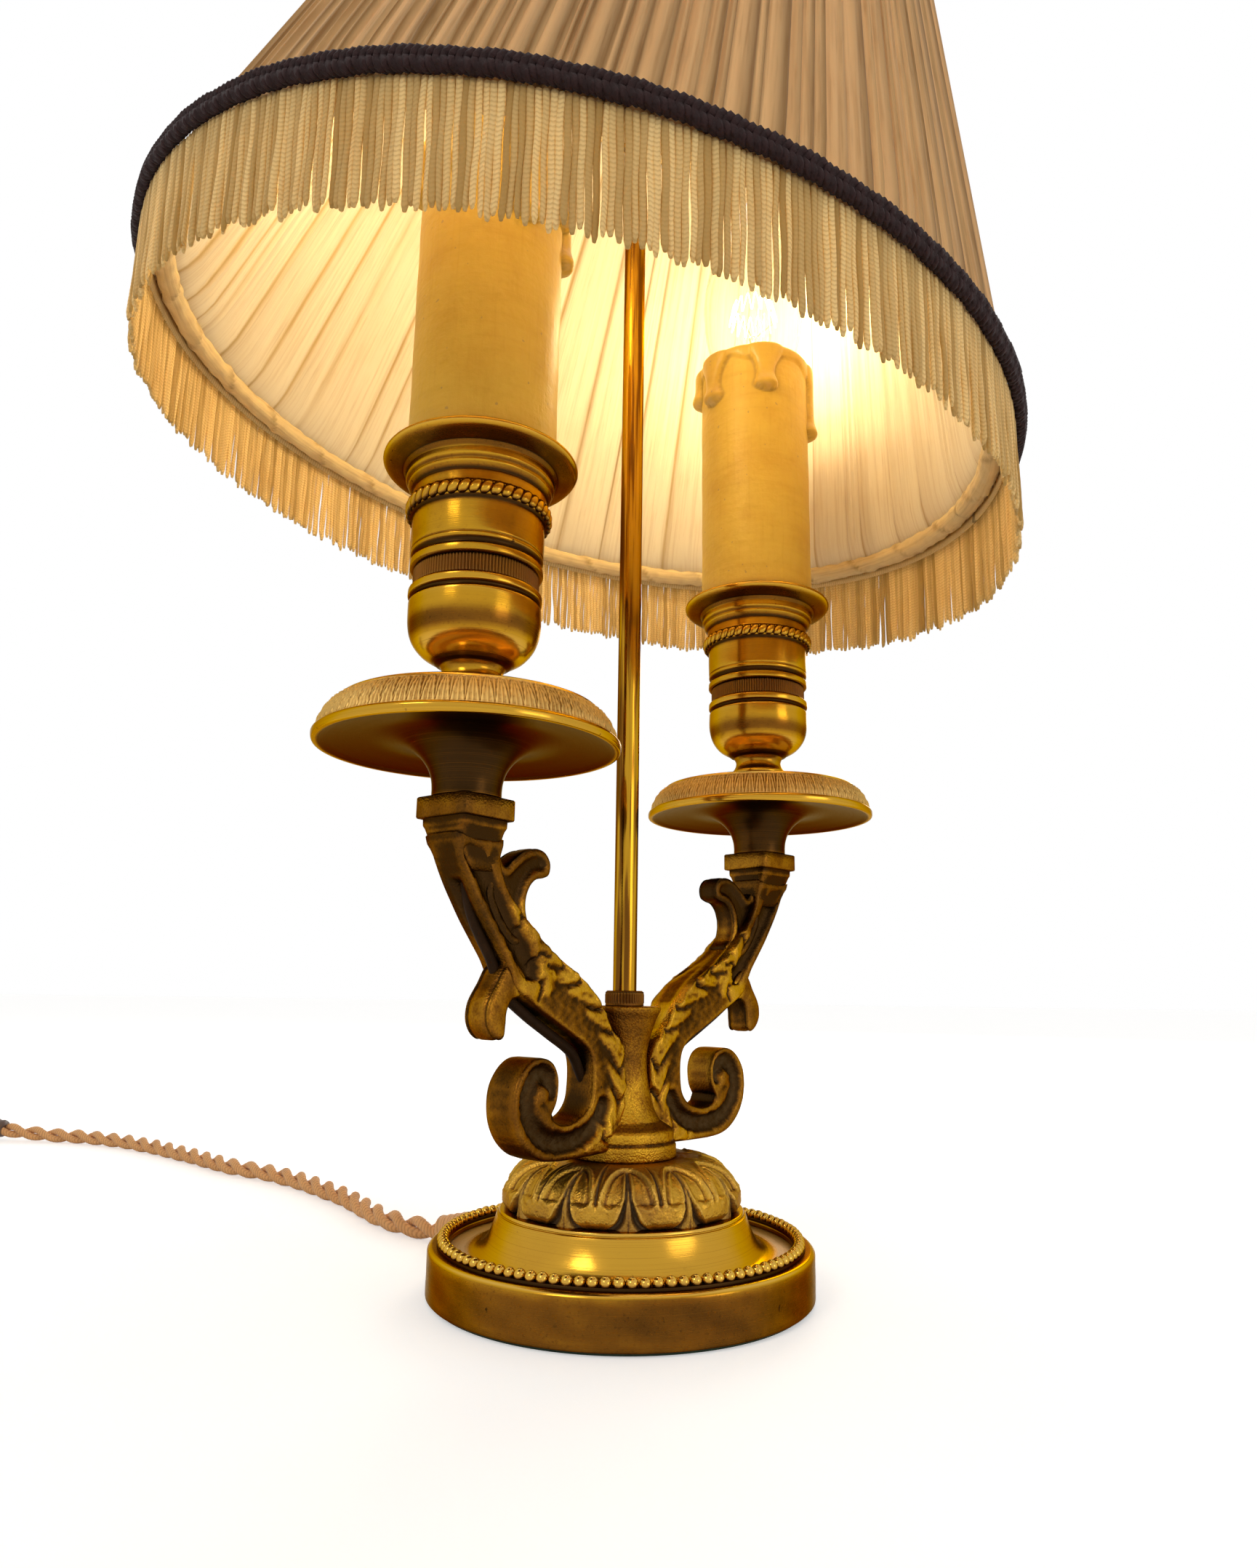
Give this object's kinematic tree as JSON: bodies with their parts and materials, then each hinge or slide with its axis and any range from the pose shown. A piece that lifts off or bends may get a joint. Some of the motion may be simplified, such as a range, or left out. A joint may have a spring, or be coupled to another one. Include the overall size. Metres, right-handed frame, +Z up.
{
  "type": "bedside lamp",
  "caption": "Gilt bedside lamp with a round beaded base, a short waisted column, scroll arms with candle sleeves and bulbs, and a tilting pleated shade with braid and fringe on a brass rod.",
  "frame": {"origin": "on the table, at the middle of the round base", "axes": "+Z up along the rod, -Y towards the front, +X to the right seen from the front"},
  "size_m": [0.5977, 0.3814, 0.4183],
  "materials": {
    "felt": "short wool felt",
    "cover_steel": "plain sheet steel",
    "ballast_iron": "rough casting",
    "polished_gilt": "polished gilt brass with brown tarnish in the corners",
    "aged_gilt": "matt gilt bronze with dark patina in the recesses",
    "dark_bronze": "dark worn bronze",
    "fastener_steel": "plain steel",
    "rod_brass": "polished brass",
    "gland_plastic": "dark moulded",
    "wire_sleeve": "dark sleeve",
    "thread_brass": "plain brass",
    "candle_wax": "waxy cream resin",
    "holder_ceramic": "glazed",
    "contact_brass": "bright brass",
    "bulb_glass": "clear glass",
    "cap_metal": "nickelled brass",
    "mount_glass": "clear glass and fine wire",
    "frame_wire": "brassed steel wire",
    "ribbon": "crumpled cotton ribbon",
    "cover_cloth": "fine pleated cotton",
    "lining_cloth": "fine pleated lining",
    "braid": "dark looped braid",
    "fringe_yarn": "soft beige chainette",
    "cord_textile": "twisted golden textile cord",
    "switch_ivory": "ivory moulded",
    "rocker_brown": "brown moulded"
  },
  "bodies": {
    "base": {"felt_pad": "felt", "bottom_cover": "cover_steel", "ballast_ring": "ballast_iron", "base_drum": "polished_gilt", "base_plate": "polished_gilt", "bead_moulding": "aged_gilt", "leaf_dome": "aged_gilt", "column": "aged_gilt", "tie_bolt": "fastener_steel", "tie_nut": "fastener_steel", "tie_washer": "fastener_steel", "rod_nut": "dark_bronze", "shade_rod": "rod_brass", "cord_gland": "gland_plastic", "arm_left": "aged_gilt", "arm_right": "aged_gilt", "arm_wire_left": "wire_sleeve", "arm_wire_right": "wire_sleeve", "drip_pan_left": "polished_gilt", "drip_pan_right": "polished_gilt", "nipples": "thread_brass", "nipple_nuts": "thread_brass", "cup_bowl_left": "polished_gilt", "cup_bowl_right": "polished_gilt", "knurled_rings": "dark_bronze", "cup_collar_left": "aged_gilt", "cup_collar_right": "aged_gilt", "candle_left": "candle_wax", "candle_right": "candle_wax", "holder_stems": "thread_brass", "holder_shells": "thread_brass", "holder_insulators": "holder_ceramic", "holder_contacts": "contact_brass", "cord_lead": "cord_textile", "cord_link": "cord_textile", "cord_coil": "cord_textile", "cord_tail": "cord_textile", "switch_case": "switch_ivory", "plug_body": "switch_ivory", "plug_pins": "contact_brass"},
    "carrier": {"shade_collar": "rod_brass"},
    "screw": {"thumbscrew": "rod_brass"},
    "bracket": {"tilt_bracket": "rod_brass", "tilt_pin": "fastener_steel"},
    "shade": {"shade_spider": "frame_wire", "shade_wire_frame": "frame_wire", "ring_bindings": "ribbon", "shade_cover": "cover_cloth", "shade_lining": "lining_cloth", "braid_bottom": "braid", "braid_top": "braid", "shade_fringe": "fringe_yarn"},
    "finial": {"finial": "aged_gilt"},
    "rocker": {"switch_rocker": "rocker_brown"},
    "bulb_left": {"bulb_glass_left": "bulb_glass", "bulb_cap_left": "cap_metal", "bulb_mount_left": "mount_glass"},
    "bulb_right": {"bulb_glass_right": "bulb_glass", "bulb_cap_right": "cap_metal", "bulb_mount_right": "mount_glass"}
  },
  "joints": [
    {"name": "height_slide", "type": "slide", "parent": "base", "child": "carrier", "axis": [0, 0, 1], "range_m": [-0.006, 0.01]},
    {"name": "screw_turn", "type": "hinge", "parent": "carrier", "child": "screw", "pos_m": [0, 0, 0.3467], "axis": [-0.309, -0.9511, 0], "range_deg": [-120, 120]},
    {"name": "shade_swivel", "type": "hinge", "parent": "carrier", "child": "bracket", "pos_m": [0, 0, 0.3537], "axis": [0, 0, 1], "continuous": true},
    {"name": "shade_tilt", "type": "hinge", "parent": "bracket", "child": "shade", "pos_m": [0.00846, -0.00275, 0.3627], "axis": [0.309, 0.9511, 0], "range_deg": [-11.7, 2]},
    {"name": "finial_turn", "type": "hinge", "parent": "base", "child": "finial", "pos_m": [0, 0, 0.4], "axis": [0, 0, 1], "continuous": true},
    {"name": "bulb_left_turn", "type": "hinge", "parent": "base", "child": "bulb_left", "pos_m": [-0.03936, -0.04528, 0.29], "axis": [0, 0, 1], "range_deg": [-20, 0]},
    {"name": "bulb_right_turn", "type": "hinge", "parent": "base", "child": "bulb_right", "pos_m": [0.04424, 0.04054, 0.29], "axis": [0, 0, 1], "range_deg": [-20, 0]},
    {"name": "rocker_tip", "type": "hinge", "parent": "base", "child": "rocker", "pos_m": [-0.33, 0.247, 0.012], "axis": [0, 1, 0], "range_deg": [-16, 0]}
  ]
}
